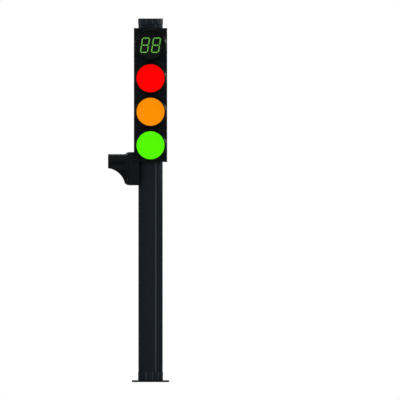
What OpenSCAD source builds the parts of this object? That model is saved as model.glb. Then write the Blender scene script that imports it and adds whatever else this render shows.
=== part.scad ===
// Traffic light pole: a flat-faced hollow aluminium profile on a foot plate, with a four-window
// vehicle head on its front, a single head on its back and a pedestrian head on its side.
// Millimetres. The origin is the middle of the foot plate's underside, +Z is up and the front faces -Y.

/* [Pole] */
// Width of the pole profile, side to side
pole_w = 255; // [220:5:300]
// Depth of the pole profile over its flat front and back
pole_d = 150; // [120:5:180]
// Thickness of the profile's wall
pole_wall = 5; // [3:0.5:7]
// How far the flat front and back stand proud of the rounded sides
band_h = 1; // [0.5:0.5:2]
// Width of the groove along each edge of the flat front and back
groove_w = 2.6; // [2:0.1:4]
// Depth of that groove
groove_depth = 1.9; // [1.2:0.1:2.5]
// Height of the top of the cap above the ground
total_h = 3800; // [3760:10:4200]
// Bore of the screw ports inside the profile
pole_port_bore = 6.8; // [5:0.2:8]

/* [Foot] */
// Width of the foot plate
plate_w = 388; // [380:2:460]
// Depth of the foot plate
plate_d = 252; // [250:2:320]
// Thickness of the foot plate
plate_t = 20; // [12:1:30]
// Corner radius of the foot plate
plate_corner_r = 16; // [6:1:20]
// Distance between the anchor holes, side to side
anchor_x = 328; // [320:2:340]
// Distance between the anchor holes, front to back
anchor_y = 204; // [200:2:210]
// Diameter of the anchor holes
anchor_hole = 18; // [14:1:20]
// Diameter of the cable hole in the foot plate
cable_hole = 80; // [50:5:100]
// Height of the fluted collar round the pole's foot
collar_h = 86; // [60:2:120]

/* [Cap and collar] */
// Wall of the cap and of the collar
sleeve_wall = 2.5; // [2:0.25:4]
// Clearance between a sleeve and the profile
sleeve_fit = 0.4; // [0.2:0.1:0.8]
// Height of the cap
cap_h = 58; // [40:2:80]
// Thickness of the cap's top
cap_top_t = 6; // [4:1:10]
// Width of each shallow flute in the sleeves
flute_w = 24; // [16:2:30]
// Distance between the flutes
flute_pitch = 62.7; // [50:0.1:64]
// Depth of the flutes
flute_depth = 1; // [0.5:0.25:1.5]
// Thread diameter of the sleeve screws
sleeve_screw_d = 5; // [4:1:6]

/* [Heads] */
// Height of one light window
module_h = 350; // [350:2:380]
// Width of every head
head_w = 348; // [346:2:380]
// How far the tops of the vehicle head and the rear head are below the top of the cap
head_drop = 100; // [70:10:300]
// How far the middle of the pedestrian head is below the bottom of the vehicle head
ped_drop = 70; // [60:5:300]
// Depth of a head from the pole's face to the front of its door
body_depth = 110; // [104:1:140]
// How far the vehicle head and the rear head wrap back round the pole
wrap = 27; // [20:1:34]
// How far the pedestrian head wraps back round the pole's rounded side
side_wrap = 8; // [6:0.5:12]
// Wall of the housings
wall = 3.5; // [2.5:0.5:5]
// Clearance between a housing's saddle and the pole
saddle_fit = 1; // [0.5:0.25:2]
// Width of the lip round the housing's mouth
lip_w = 14; // [12:1:15]
// Thickness of the lip round the housing's mouth
lip_t = 3; // [2:0.5:4]
// Thickness of the end plates of the vehicle housing
end_plate_t = 4; // [3:0.5:6]
// Thickness of the plates between the windows
divider_t = 3; // [2:0.5:4]

/* [Doors] */
// Depth of the door's edge
door_t = 10; // [8:1:14]
// Thickness of the door's skin
door_skin = 4; // [3:0.5:5]
// Gap between two doors
door_gap = 2; // [1:0.5:4]
// Gap between a door's edge and its housing
door_seat = 3; // [2:0.5:5]
// Depth of the cone round the lens, in front of the door
bezel_depth = 32; // [20:1:40]
// Diameter of the lens
lens_d = 300; // [290:1:302]
// Gap round the lens
lens_gap = 2; // [1.5:0.25:3]
// Rise of the domed lens
lens_rise = 9; // [5:1:14]

/* [Visors] */
// Wall of the visors
visor_wall = 2.5; // [1.5:0.25:3]
// Length of the visors in front of the bezel
visor_len = 175; // [120:5:200]
// Radius of the curve that is cut out of the visor's underside
cut_r = 205; // [190:1:215]
// Depth of that curve's centre below the middle of the lens
cut_drop = 199; // [195:1:215]
// Distance of that curve's centre in front of the visor's root
cut_out = 200; // [190:1:215]

/* [Hinges and screws] */
// Radius of the hinge knuckles
knuckle_r = 5.5; // [5:0.25:6]
// Radius of the hinge pins
pin_r = 3; // [2:0.25:3.5]
// Running clearance round the hinge pins
pin_fit = 0.05; // [0.02:0.01:0.1]
// Length of a hinge, over its three knuckles
hinge_len = 36; // [30:2:44]
// Distance of the hinges above and below the middle of the door
hinge_v = 130; // [124:1:140]
// Distance of the door screws from the middle of the door, sideways and up or down
screw_pos = 152; // [148:1:153]
// Thread diameter of the door screws
screw_d = 6; // [5:1:7]
// Clearance round the door screws
screw_fit = 0.4; // [0.3:0.1:0.8]

/* [Displays] */
// Height of the countdown digits
digit_h = 160; // [120:2:170]
// Width of a countdown digit
digit_w = 84; // [70:2:90]
// Distance between the two digits
digit_pitch = 115; // [112:1:120]
// Width of a digit's strokes
stroke_w = 11; // [9:1:16]
// How far each stroke ends short of its corner
stroke_gap = 3; // [1:0.5:5]
// How far the digits are below the middle of their window
digit_drop = 4; // [0:1:8]
// Slant of the digits in degrees
slant = 9; // [0:1:12]
// Height of the walking and standing figures
figure_h = 180; // [140:2:190]
// How far the lit shapes stand proud of their panel
lit_t = 1.5; // [1:0.5:3]

/* [Hidden] */
$fn = 96;
eps = 0.01;
front_face = pole_d / 2;
side_face = pole_w / 2;
flat_w = pole_w - pole_d;
groove_in = 0.3;
groove_slope = 0.5;
pole_top = total_h - cap_top_t;
cap_z = total_h - cap_h;
head_top = total_h - head_drop;
head_bottom = head_top - 4 * module_h;
ped_z = head_bottom - ped_drop;

// Places along the way out of a head, from the pole's face
door_back = body_depth - door_t;
seat = door_back - door_seat;
skin_back = body_depth - door_skin;
saddle = saddle_fit + wall;
hinge_gap = 0.5;
axis_w = body_depth + knuckle_r + hinge_gap;
axis_u = head_w / 2 - knuckle_r - hinge_gap;
mouth_w = head_w - 2 * lip_w;
end_lip = lip_w - 2;
door_h = module_h - door_gap;
opening_r = lens_d / 2 + lens_gap;
tube_wall = 3;
visor_r = opening_r + visor_wall + 1;
visor_root = body_depth + bezel_depth;
cone_r = min(head_w, door_h) / 2;
lens_flange_r = opening_r + 6;
lens_flange_t = 3;
lens_gasket_t = 1;
lens_back = door_back - lens_gasket_t - lens_flange_t;
lens_front = body_depth + 2;
lamp_wall = 2.5;
lamp_r = lens_d / 2 - 2;
lamp_back_r = lamp_r * 0.66;
notch_fit = 3;
lamp_gap = 5;
lamp_depth = min(50, side_face + lens_back - head_w / 2 - notch_fit - wall - lamp_gap);
gland_r = 9;
gland_h = 10;
clip_w = 16;
clip_arm = 14;
clip_hook = 6;
clip_t = 4;
door_wall = 3.5;
knuckle_gap = 0.3;
knuckle_len = (hinge_len - 2 * knuckle_gap) / 3;
tab_t = wall;
port_r = 6;
port_bore_r = 2.1;
port_in = wall + 5;
port_fit = 1.5;
thread_fit = 0.1;
boss_w = 20;
boss_depth = 15.5;
boss_edge = 9;
boss_bore = 12;
screw_grip = 6;
knob_r = 7;
knob_h = 4;
plate_screw_len = 18;
plate_screw_head_r = 4.5;
plate_screw_head_h = 2;
sleeve_screw_head_h = 1.5;
bolt_r = 5;
bolt_fit = 0.2;
bolt_head_r = 9;
bolt_head_h = 7;
bolt_end = 2;
nut_h = 8;
nut_gap = 0.7;
bush_r = 17;
bush_bore_r = 12;
bush_flange = 4;
bush_flange_t = 3;
bush_fit = 0.2;
pin_head = 1.2;
pin_head_t = 1.5;
gasket_gap = 0.3;
seal_fit = 0.3;
seal_in = 1;
rim_fit = 0.5;
seal_lip = 4;
seal_lip_lift = 1.1;
seal_lip_t = 1.2;
drain_x = 120;
drain_r = 4;
cable_gap_x = 115;
cable_gap_r = 16;
terminal_w = 90;
terminal_h = 34;
terminal_d = 26;
terminal_drop = 75;
terminal_ways = 8;
way_pitch = 10.5;
way_w = 8;
way_h = 11;
way_d = 10;
well_r = 3;
well_d = 12;
red_figure_u = -75;
green_figure_u = 45;

// The six windows: the height of the middle, the turn about Z, and the distance of the pole's face
COUNTDOWN = 0;
RED = 1;
AMBER = 2;
GREEN = 3;
REAR = 4;
PEDESTRIAN = 5;
window_z = [for (i = [0:3]) head_top - module_h * (i + 0.5), head_top - module_h / 2, ped_z];
window_turn = [0, 0, 0, 0, 180, -90];
window_face = [front_face, front_face, front_face, front_face, front_face, side_face];

// Bolts that hold the heads: window, distance sideways, distance up
HEAD_BOLTS = [
    [COUNTDOWN, -30, 120], [COUNTDOWN, 30, 120],
    [RED, -30, -140], [RED, 30, -140],
    [GREEN, -30, -145], [GREEN, 30, -145]
];
REAR_BOLTS = [[REAR, -30, 120], [REAR, 30, 120], [REAR, -30, -120], [REAR, 30, -120]];
PED_BOLTS = [[PEDESTRIAN, 0, 120], [PEDESTRIAN, 0, -120]];
// Cable bushes: window, distance sideways, distance up
BUSHES = [[GREEN, 0, 60], [REAR, 0, 0], [PEDESTRIAN, 0, 0]];

// Puts a shape drawn as (sideways, up, outwards) at the middle of window k
module at(k) {
    translate([0, 0, window_z[k]])
        rotate([0, 0, window_turn[k]])
            rotate([90, 0, 0])
                children();
}

// A flat shape with half-round ends
module stadium(w, d) {
    square([w - d, d], center = true);
    for (s = [-1, 1])
        translate([s * (w - d) / 2, 0]) circle(d = d);
}

// The pole's outline: rounded sides with raised flat bands at the front and back, and a groove
// with sloping sides along each edge of the bands
module pole_outline() {
    difference() {
        union() {
            stadium(pole_w, pole_d - 2 * band_h);
            square([flat_w, pole_d], center = true);
        }
        for (x = [-1, 1], y = [-1, 1])
            scale([x, y])
                translate([flat_w / 2 - groove_in, front_face])
                    polygon([
                        [0, 0], [groove_slope, -groove_depth],
                        [groove_w - groove_slope, -groove_depth], [groove_w, -band_h],
                        [groove_w, 1], [0, 1]
                    ]);
    }
}

// The room that a piece round the pole leaves for it
module pole_room(gap) {
    stadium(pole_w + 2 * gap, pole_d + 2 * gap);
}

// A rectangle with round corners
module rounded(w, d, r) {
    square([w - 2 * r, d], center = true);
    square([w, d - 2 * r], center = true);
    for (x = [-1, 1], y = [-1, 1])
        translate([x * (w / 2 - r), y * (d / 2 - r)]) circle(r = r);
}

// A screw or bolt along +Z with its head above z = 0
module screw(r, shank, head_r, head_h) {
    cylinder(r = head_r, h = head_h);
    translate([0, 0, -shank]) cylinder(r = r, h = shank + eps);
}

/* Foot, pole and cap */

port_y = pole_d / 2 - pole_wall - 4;
PORTS = [for (x = [-1, 1], y = [-1, 1]) [x * (flat_w / 2 + 8), y * port_y]];

module base_plate() {
    color("#17191b")
        difference() {
            linear_extrude(plate_t) rounded(plate_w, plate_d, plate_corner_r);
            for (x = [-1, 1], y = [-1, 1])
                translate([x * anchor_x / 2, y * anchor_y / 2, -1])
                    cylinder(d = anchor_hole, h = plate_t + 2);
            translate([0, 0, -1]) cylinder(d = cable_hole, h = plate_t + 2);
        }
}

// The outline of a fluted sleeve: the flutes follow the pole's curve
module fluted_outline() {
    grow = sleeve_fit + sleeve_wall;
    difference() {
        pole_room(grow);
        for (i = [-1.5:1:1.5])
            intersection() {
                translate([i * flute_pitch, 0])
                    square([flute_w, pole_d + 4 * grow], center = true);
                difference() {
                    pole_room(2 * grow);
                    pole_room(grow - flute_depth);
                }
            }
    }
}

// The places of the sleeve screws, in the middle flutes of the front and the back
module sleeve_screw_places(z) {
    for (s = [-1, 1], x = [-1, 1])
        translate([x * flute_pitch, s * (front_face + sleeve_fit + sleeve_wall), z])
            rotate([-90 * s, 0, 0]) children();
}

module sleeve_screws(z) {
    sleeve_screw_places(z)
        screw(sleeve_screw_d / 2 - 0.2, sleeve_wall + 3, sleeve_screw_d * 0.8,
              sleeve_screw_head_h);
}

module base_collar() {
    color("#1b1d20")
        difference() {
            translate([0, 0, plate_t]) linear_extrude(collar_h) fluted_outline();
            translate([0, 0, plate_t - 1]) linear_extrude(collar_h + 2) pole_room(sleeve_fit);
            sleeve_screw_places(plate_t + collar_h / 2)
                cylinder(d = sleeve_screw_d, h = 4 * sleeve_wall, center = true);
        }
}

module collar_screws() {
    color("#3a3d40") sleeve_screws(plate_t + collar_h / 2);
}

module pole_profile() {
    color("#1b1f22")
        difference() {
            translate([0, 0, plate_t])
                linear_extrude(pole_top - plate_t)
                    difference() {
                        pole_outline();
                        difference() {
                            stadium(pole_w - 2 * pole_wall - 2 * band_h,
                                    pole_d - 2 * pole_wall - 2 * band_h);
                            for (p = PORTS)
                                translate(p) circle(r = pole_port_bore / 2 + 3);
                        }
                        for (p = PORTS)
                            translate(p) circle(d = pole_port_bore);
                    }
            for (b = concat(HEAD_BOLTS, REAR_BOLTS, PED_BOLTS))
                at(b[0])
                    translate([b[1], b[2], window_face[b[0]] - 2 * pole_wall])
                        cylinder(r = bolt_r + bolt_fit, h = 3 * pole_wall);
            for (b = BUSHES)
                at(b[0])
                    translate([b[1], b[2], window_face[b[0]] - 2 * pole_wall])
                        cylinder(r = bush_r + bush_fit, h = 3 * pole_wall);
            for (z = [plate_t + collar_h / 2, cap_z + cap_h / 2])
                sleeve_screw_places(z)
                    cylinder(d = sleeve_screw_d, h = 6 * pole_wall, center = true);
        }
}

module top_cap() {
    color("#1d1f22")
        difference() {
            translate([0, 0, cap_z]) linear_extrude(cap_h) fluted_outline();
            translate([0, 0, cap_z - 1])
                linear_extrude(cap_h - cap_top_t + 1) pole_room(sleeve_fit);
            sleeve_screw_places(cap_z + cap_h / 2)
                cylinder(d = sleeve_screw_d, h = 4 * sleeve_wall, center = true);
        }
}

module cap_screws() {
    color("#3a3d40") sleeve_screws(cap_z + cap_h / 2);
}

/* Housings */

// The room inside a head, seen from above, kept this far from the walls
module head_room(gap) {
    difference() {
        translate([-head_w / 2 + gap, -front_face - seat + lip_t + gap - wall])
            square([head_w - 2 * gap, seat - lip_t + wrap - 2 * gap + wall]);
        pole_room(saddle_fit + gap);
    }
}

// The slot in the front of the vehicle housing
module head_mouth(gap, reach) {
    translate([-mouth_w / 2 + gap, -front_face - seat - reach])
        square([mouth_w - 2 * gap, lip_t + reach + 1]);
}

head_ports = [
    for (x = [-1, 1], y = [-front_face + wrap - port_in, -front_face - seat + lip_t + 5])
        [x * (head_w / 2 - port_in), y]
];

// The outline of the whole head round the pole, seen from above
module head_outline() {
    difference() {
        translate([-head_w / 2, -front_face - seat]) square([head_w, seat + wrap]);
        pole_room(saddle_fit);
    }
}

// The fixed outer knuckles of both hinges, with the tabs that carry them
module fixed_knuckles(face) {
    for (v = [-hinge_v, hinge_v], s = [-1, 1])
        translate([0, v + s * (knuckle_len + knuckle_gap) - knuckle_len / 2, 0])
            difference() {
                union() {
                    translate([axis_u, 0, face + axis_w])
                        rotate([-90, 0, 0]) cylinder(r = knuckle_r, h = knuckle_len);
                    translate([head_w / 2 - tab_t, 0, face + seat - lip_t])
                        cube([tab_t, knuckle_len, axis_w - seat + lip_t]);
                }
                translate([axis_u, -1, face + axis_w])
                    rotate([-90, 0, 0]) cylinder(r = pin_r + pin_fit, h = knuckle_len + 2);
            }
}

// The two bosses that the door's screws reach into
module screw_bosses(face) {
    for (v = [-screw_pos, screw_pos])
        difference() {
            translate([-head_w / 2 + eps, v - boss_w / 2, face + seat - boss_depth - seal_fit])
                cube([head_w / 2 - screw_pos + boss_edge, boss_w, boss_depth]);
            translate([-screw_pos, v, face + seat - boss_bore])
                cylinder(r = screw_d / 2 + screw_fit, h = boss_bore + 1);
        }
}

// Holes for bolts and for the cable bush in a housing's saddle
module saddle_holes(bolts, bushes) {
    for (b = bolts)
        at(b[0])
            translate([b[1], b[2], window_face[b[0]] - 5])
                cylinder(r = bolt_r + bolt_fit, h = saddle + 10);
    for (b = bushes)
        at(b[0])
            translate([b[1], b[2], window_face[b[0]] - 5])
                cylinder(r = bush_r + bush_fit, h = saddle + 10);
}

module vehicle_housing() {
    color("#1d2023")
        difference() {
            union() {
                translate([0, 0, head_bottom + end_plate_t])
                    linear_extrude(4 * module_h - 2 * end_plate_t) {
                        difference() {
                            head_outline();
                            head_room(wall);
                            head_mouth(0, 1);
                        }
                        for (p = head_ports) translate(p) circle(r = port_r);
                    }
                for (k = [COUNTDOWN:GREEN])
                    at(k) {
                        fixed_knuckles(front_face);
                        screw_bosses(front_face);
                    }
            }
            for (p = head_ports)
                translate([p[0], p[1], head_bottom - 1])
                    cylinder(r = port_bore_r, h = 4 * module_h + 2);
            saddle_holes(HEAD_BOLTS, [BUSHES[0]]);
        }
}

// An end plate of the vehicle housing with its front flange, drawn as the bottom one
module end_plate() {
    difference() {
        union() {
            linear_extrude(end_plate_t) head_outline();
            linear_extrude(end_lip)
                translate([-mouth_w / 2 + gasket_gap, -front_face - seat])
                    square([mouth_w - 2 * gasket_gap, lip_t]);
        }
        for (p = head_ports)
            translate([p[0], p[1], -1]) cylinder(r = port_bore_r, h = end_plate_t + 2);
    }
}

module vehicle_top_plate() {
    color("#15171a") translate([0, 0, head_top]) mirror([0, 0, 1]) end_plate();
}

module vehicle_bottom_plate() {
    color("#15171a")
        difference() {
            translate([0, 0, head_bottom]) end_plate();
            for (x = [-drain_x, drain_x])
                translate([x, -front_face - seat / 2, head_bottom - 1])
                    cylinder(r = drain_r, h = end_plate_t + 2);
        }
}

module plate_screw() {
    screw(port_bore_r - thread_fit, plate_screw_len, plate_screw_head_r, plate_screw_head_h);
}

module vehicle_plate_screws() {
    color("#3a3d40")
        for (p = head_ports) {
            translate([p[0], p[1], head_top]) plate_screw();
            translate([p[0], p[1], head_bottom]) mirror([0, 0, 1]) plate_screw();
        }
}

module vehicle_dividers() {
    color("#202326")
        for (i = [1:3])
            translate([0, 0, head_top - i * module_h]) {
                translate([0, 0, -divider_t / 2])
                    linear_extrude(divider_t)
                        difference() {
                            union() {
                                head_room(wall + gasket_gap);
                                head_mouth(gasket_gap, 0);
                            }
                            for (p = head_ports)
                                translate(p) square(2 * (port_r + port_fit), center = true);
                            for (x = [-cable_gap_x, cable_gap_x])
                                translate([x, -front_face - seat / 2]) circle(r = cable_gap_r);
                        }
                translate([0, 0, -end_lip])
                    linear_extrude(2 * end_lip)
                        translate([-mouth_w / 2 + gasket_gap, -front_face - seat])
                            square([mouth_w - 2 * gasket_gap, lip_t]);
            }
}

// A one-window housing round the pole: an open box with a lip, a saddle and its own ends
module single_housing(k, back, notched) {
    face = window_face[k];
    difference() {
        at(k)
            translate([-head_w / 2, -door_h / 2, face - back])
                cube([head_w, door_h, seat + back]);
        difference() {
            at(k) {
                translate([-head_w / 2 + wall, -door_h / 2 + wall, face - back + wall])
                    cube([head_w - 2 * wall, door_h - 2 * wall, seat + back - wall - lip_t]);
                translate([-mouth_w / 2, -door_h / 2 + end_lip, face + seat - lip_t - 1])
                    cube([mouth_w, door_h - 2 * end_lip, lip_t + 2]);
            }
            translate([0, 0, window_z[k] - module_h])
                linear_extrude(2 * module_h) pole_room(saddle);
            if (notched) head_notch(notch_fit + wall);
        }
        translate([0, 0, window_z[k] - module_h])
            linear_extrude(2 * module_h) pole_room(saddle_fit);
        if (notched) head_notch(notch_fit);
    }
}

// The corner that the vehicle head fills, which the pedestrian housing steps round
module head_notch(gap) {
    translate([-head_w / 2 - gap, -front_face - body_depth - 50, head_bottom - gap])
        cube([head_w + gap, body_depth + wrap + 50 + gap, 2 * module_h]);
}

module rear_housing() {
    color("#17191c") {
        difference() {
            single_housing(REAR, wrap, false);
            saddle_holes(REAR_BOLTS, [BUSHES[1]]);
        }
        at(REAR) {
            fixed_knuckles(front_face);
            screw_bosses(front_face);
        }
    }
}

module pedestrian_housing() {
    color("#17191c") {
        difference() {
            single_housing(PEDESTRIAN, side_wrap, true);
            saddle_holes(PED_BOLTS, [BUSHES[2]]);
        }
        at(PEDESTRIAN) {
            fixed_knuckles(side_face);
            screw_bosses(side_face);
        }
    }
}

// Bolts through a saddle and the pole's wall, each with its nut inside the pole
module mount_bolts(bolts) {
    color("#6a6e72")
        for (b = bolts) {
            face = window_face[b[0]];
            nut = face - pole_wall - band_h - nut_gap - nut_h;
            at(b[0])
                translate([b[1], b[2], 0]) {
                    translate([0, 0, face + saddle])
                        cylinder(r = bolt_head_r, h = bolt_head_h, $fn = 6);
                    translate([0, 0, nut - bolt_end])
                        cylinder(r = bolt_r, h = face + saddle - nut + bolt_end + eps);
                    translate([0, 0, nut]) cylinder(r = bolt_head_r, h = nut_h, $fn = 6);
                }
        }
}

module vehicle_mount_bolts() { mount_bolts(HEAD_BOLTS); }

module rear_mount_bolts() { mount_bolts(REAR_BOLTS); }

module pedestrian_mount_bolts() { mount_bolts(PED_BOLTS); }

module cable_bushes() {
    color("#101112")
        for (b = BUSHES)
            at(b[0])
                translate([b[1], b[2], window_face[b[0]]])
                    difference() {
                        union() {
                            translate([0, 0, -pole_wall - band_h - bush_flange_t])
                                cylinder(r = bush_r,
                                         h = pole_wall + band_h + bush_flange_t + saddle + eps);
                            translate([0, 0, saddle])
                                cylinder(r = bush_r + bush_flange, h = bush_flange_t);
                        }
                        translate([0, 0, -4 * pole_wall])
                            cylinder(r = bush_bore_r, h = 12 * pole_wall);
                    }
}

module terminal_block() {
    color("#d8d4c4")
        at(GREEN)
            translate([-terminal_w / 2, -terminal_drop, front_face + saddle])
                difference() {
                    cube([terminal_w, terminal_h, terminal_d]);
                    for (i = [0:terminal_ways - 1])
                        translate([terminal_w / 2 + (i - (terminal_ways - 1) / 2) * way_pitch,
                                   0, terminal_d]) {
                            translate([-way_w / 2, -1, -way_d]) cube([way_w, way_h + 1, way_d + 1]);
                            translate([0, terminal_h - well_d, -well_d])
                                cylinder(r = well_r, h = well_d + 1);
                        }
                }
}

module hinge_pins() {
    color("#9a9c9e")
        for (k = [COUNTDOWN:PEDESTRIAN])
            at(k)
                for (v = [-hinge_v, hinge_v])
                    translate([axis_u, v - hinge_len / 2, window_face[k] + axis_w])
                        rotate([-90, 0, 0]) {
                            cylinder(r = pin_r, h = hinge_len + pin_head_t / 2);
                            translate([0, 0, hinge_len])
                                cylinder(r = pin_r + pin_head, h = pin_head_t);
                        }
}

/* Doors and what they carry */

// The cone and the tube round the lens, as one thin moulded ring
module bezel(face) {
    back_r = cone_r - door_wall;
    translate([0, 0, face])
        rotate_extrude()
            polygon([
                [opening_r, door_back], [opening_r, visor_root], [visor_r, visor_root],
                [cone_r, body_depth], [cone_r, skin_back], [back_r, skin_back],
                [back_r, skin_back + 2], [opening_r + tube_wall, visor_root - 5],
                [opening_r + tube_wall, door_back]
            ]);
}

// The middle knuckles of both hinges and their arms on the door
module door_knuckles(face) {
    for (v = [-hinge_v, hinge_v])
        translate([0, v - knuckle_len / 2, 0])
            difference() {
                union() {
                    translate([axis_u, 0, face + axis_w])
                        rotate([-90, 0, 0]) cylinder(r = knuckle_r, h = knuckle_len);
                    translate([axis_u - 2 * knuckle_r, 0, face + body_depth - 1])
                        cube([2 * knuckle_r, knuckle_len, axis_w - body_depth + 1]);
                }
                translate([axis_u, -1, face + axis_w])
                    rotate([-90, 0, 0]) cylinder(r = pin_r + pin_fit, h = knuckle_len + 2);
            }
}

// Four clips behind the door that hold the lamp unit's flange
module lamp_clips(face) {
    for (a = [45:90:315])
        rotate([0, 0, a]) {
            translate([lens_flange_r + 1, -clip_w / 2, face + lens_back - clip_t])
                cube([clip_arm, clip_w, skin_back - lens_back + clip_t + 1]);
            translate([lens_flange_r + 2 - clip_hook, -clip_w / 2, face + lens_back - clip_t])
                cube([clip_hook, clip_w, clip_t - gasket_gap]);
        }
}

module door(k) {
    face = window_face[k];
    color("#111315")
        at(k) {
            difference() {
                translate([-head_w / 2, -door_h / 2, face + door_back])
                    cube([head_w, door_h, door_t]);
                translate([-head_w / 2 + door_wall, -door_h / 2 + door_wall, face + door_back - 1])
                    cube([head_w - 2 * door_wall, door_h - 2 * door_wall, skin_back - door_back + 1]);
                translate([0, 0, face]) cylinder(r = cone_r - door_wall, h = 2 * body_depth);
                for (v = [-hinge_v, hinge_v])
                    translate([head_w / 2 - tab_t - 1, v - hinge_len / 2 - 1, face])
                        cube([tab_t + 2, hinge_len + 2, 2 * body_depth]);
                for (v = [-screw_pos, screw_pos])
                    translate([-screw_pos, v, face])
                        cylinder(r = screw_d / 2 + screw_fit, h = 2 * body_depth);
            }
            bezel(face);
            door_knuckles(face);
            lamp_clips(face);
        }
}

module visor(k) {
    face = window_face[k];
    color("#0e1011")
        at(k)
            translate([0, 0, face + visor_root])
                difference() {
                    cylinder(r = visor_r, h = visor_len);
                    translate([0, 0, -1]) cylinder(r = visor_r - visor_wall, h = visor_len + 2);
                    translate([-visor_r - 10, -cut_drop, cut_out])
                        rotate([0, 90, 0]) cylinder(r = cut_r, h = 2 * visor_r + 20);
                }
}

// A lens with a flange behind the door: domed, or flat where rise is 0
module lens(k, tint, rise) {
    r = lens_d / 2;
    t = 3;
    steps = 10;
    function dome(i, grow) = [
        (r - (grow > 0 ? 0 : t)) * (1 - i / steps),
        lens_front - (grow > 0 ? 0 : t) + rise * (1 - pow(1 - i / steps, 2))
    ];
    color(tint)
        at(k)
            translate([0, 0, window_face[k]])
                rotate_extrude()
                    polygon(concat(
                        [[r - t, lens_back], [lens_flange_r, lens_back],
                         [lens_flange_r, lens_back + lens_flange_t],
                         [r, lens_back + lens_flange_t]],
                        rise > 0 ? [for (i = [0:steps]) dome(i, 1)]
                                 : [[r, lens_front], [0, lens_front]],
                        rise > 0 ? [for (i = [steps:-1:0]) dome(i, 0)]
                                 : [[0, lens_front - t], [r - t, lens_front - t]]
                    ));
}

// The ring that seals the lens and folds over its rim, and the frame that seals the door
module seals(k) {
    color("#0b0b0c")
        at(k)
            translate([0, 0, window_face[k]]) {
                rotate_extrude()
                    polygon([
                        [lens_d / 2 + gasket_gap, lens_back + lens_flange_t],
                        [lens_flange_r - rim_fit, lens_back + lens_flange_t],
                        [lens_flange_r - rim_fit, door_back],
                        [opening_r - gasket_gap, door_back],
                        [opening_r - gasket_gap, lens_front + seal_lip_lift + seal_lip_t],
                        [lens_d / 2 - seal_lip, lens_front + seal_lip_lift + seal_lip_t],
                        [lens_d / 2 - seal_lip, lens_front + seal_lip_lift],
                        [lens_d / 2 + gasket_gap, lens_front + seal_lip_lift]
                    ]);
                translate([0, 0, seat + seal_fit])
                    linear_extrude(skin_back - seat - seal_fit)
                        difference() {
                            square([head_w - 2 * door_wall, door_h - 2 * door_wall],
                                   center = true);
                            square([mouth_w + 2 * seal_in, door_h - 2 * (end_lip - seal_in)],
                                   center = true);
                        }
            }
}

// The sealed can behind a lens, with its cable gland
module lamp_unit(k) {
    color("#2a2c2e")
        at(k)
            translate([0, 0, window_face[k]]) {
                rotate_extrude()
                    polygon([
                        [0, lens_back - lamp_depth], [lamp_back_r, lens_back - lamp_depth],
                        [lamp_r, lens_back - lamp_depth / 2], [lamp_r, lens_back],
                        [lamp_r - lamp_wall, lens_back],
                        [lamp_r - lamp_wall, lens_back - lamp_depth / 2 + 1],
                        [lamp_back_r - 1, lens_back - lamp_depth + lamp_wall],
                        [0, lens_back - lamp_depth + lamp_wall]
                    ]);
                translate([0, -lamp_back_r / 2, lens_back - lamp_depth - gland_h])
                    cylinder(r = gland_r, h = gland_h + eps);
            }
}

module door_screws(k) {
    color("#55585b")
        at(k)
            for (v = [-screw_pos, screw_pos])
                translate([-screw_pos, v, window_face[k] + body_depth])
                    screw(screw_d / 2, body_depth - seat + screw_grip, knob_r, knob_h);
}

// One straight stroke of a digit, leaning with the slant
module stroke(a, b) {
    d = b - a;
    n = [-d[1], d[0]] / norm(d) * stroke_w / 2;
    u = d / norm(d) * stroke_w / 2;
    function lean(p) = [p[0] + p[1] * tan(slant), p[1]];
    linear_extrude(lit_t)
        polygon([for (p = [a, a + u + n, b - u + n, b, b - u - n, a + u - n]) lean(p)]);
}

module countdown_digits() {
    x = digit_w / 2 - stroke_w / 2;
    y = digit_h / 2 - stroke_w / 2;
    corners = [[-x, -y], [x, -y], [-x, 0], [x, 0], [-x, y], [x, y]];
    bars = [[0, 1], [2, 3], [4, 5], [0, 2], [2, 4], [1, 3], [3, 5]];
    color("#57c33e")
        at(COUNTDOWN)
            translate([0, 0, front_face + lens_front])
                for (s = [-1, 1], b = bars) {
                    a = corners[b[0]];
                    c = corners[b[1]];
                    step = (c - a) / norm(c - a) * stroke_gap;
                    translate([s * digit_pitch / 2, -digit_drop, 0]) stroke(a + step, c - step);
                }
}

// A limb between two points, with round ends of two radii
module limb(a, b, ra, rb) {
    hull() {
        translate(a) circle(r = ra, $fn = 32);
        translate(b) circle(r = rb, $fn = 32);
    }
}

// Both figures are drawn on a body of unit height with the feet at 0 and the head at 1
module figure(parts, u) {
    k = figure_h;
    translate([u, -figure_h / 2, 0])
        linear_extrude(lit_t)
            for (p = parts)
                limb([p[0], p[1]] * k, [p[2], p[3]] * k, p[4] * k, p[5] * k);
}

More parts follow.
